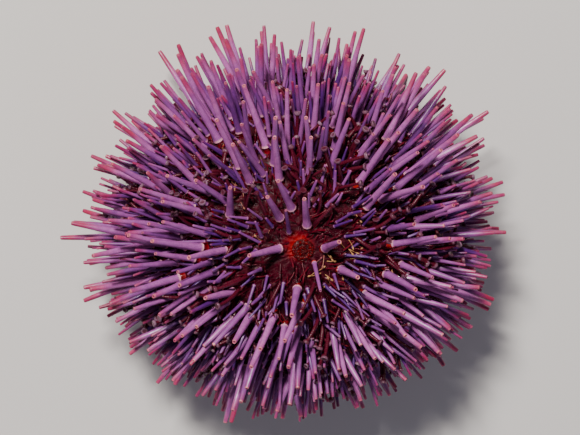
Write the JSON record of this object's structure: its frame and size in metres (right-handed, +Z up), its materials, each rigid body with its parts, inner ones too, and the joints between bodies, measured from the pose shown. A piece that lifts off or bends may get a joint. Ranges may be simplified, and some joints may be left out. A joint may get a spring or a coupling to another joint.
{
  "type": "purple sea urchin",
  "caption": "Life-size purple sea urchin at rest on its oral side, its domed test carried in sectors and bristling with blunt, tapered spines.",
  "frame": {"origin": "on the floor, at the middle of the model's box", "axes": "+Z up through the pole, +X to the right and +Y to the top of the picture, which looks down on the animal"},
  "size_m": [0.0994, 0.09, 0.0486],
  "materials": {
    "spined_test": "satin lavender spines with red tips over wet dark maroon skin",
    "apical_skin": "wet, dark red",
    "oral_skin": "soft, matt, dull maroon",
    "tooth": "glossy, chalk white"
  },
  "bodies": {
    "root": {"ambulacrum_1": "spined_test", "ambulacrum_2": "spined_test", "ambulacrum_3": "spined_test", "ambulacrum_4": "spined_test", "ambulacrum_5": "spined_test", "interambulacrum_1": "spined_test", "interambulacrum_2": "spined_test", "interambulacrum_3": "spined_test", "interambulacrum_4": "spined_test", "interambulacrum_5": "spined_test", "apical_disc": "spined_test", "periproct": "apical_skin", "peristome": "oral_skin", "tooth_1": "tooth", "tooth_2": "tooth", "tooth_3": "tooth", "tooth_4": "tooth", "tooth_5": "tooth"}
  },
  "joints": []
}
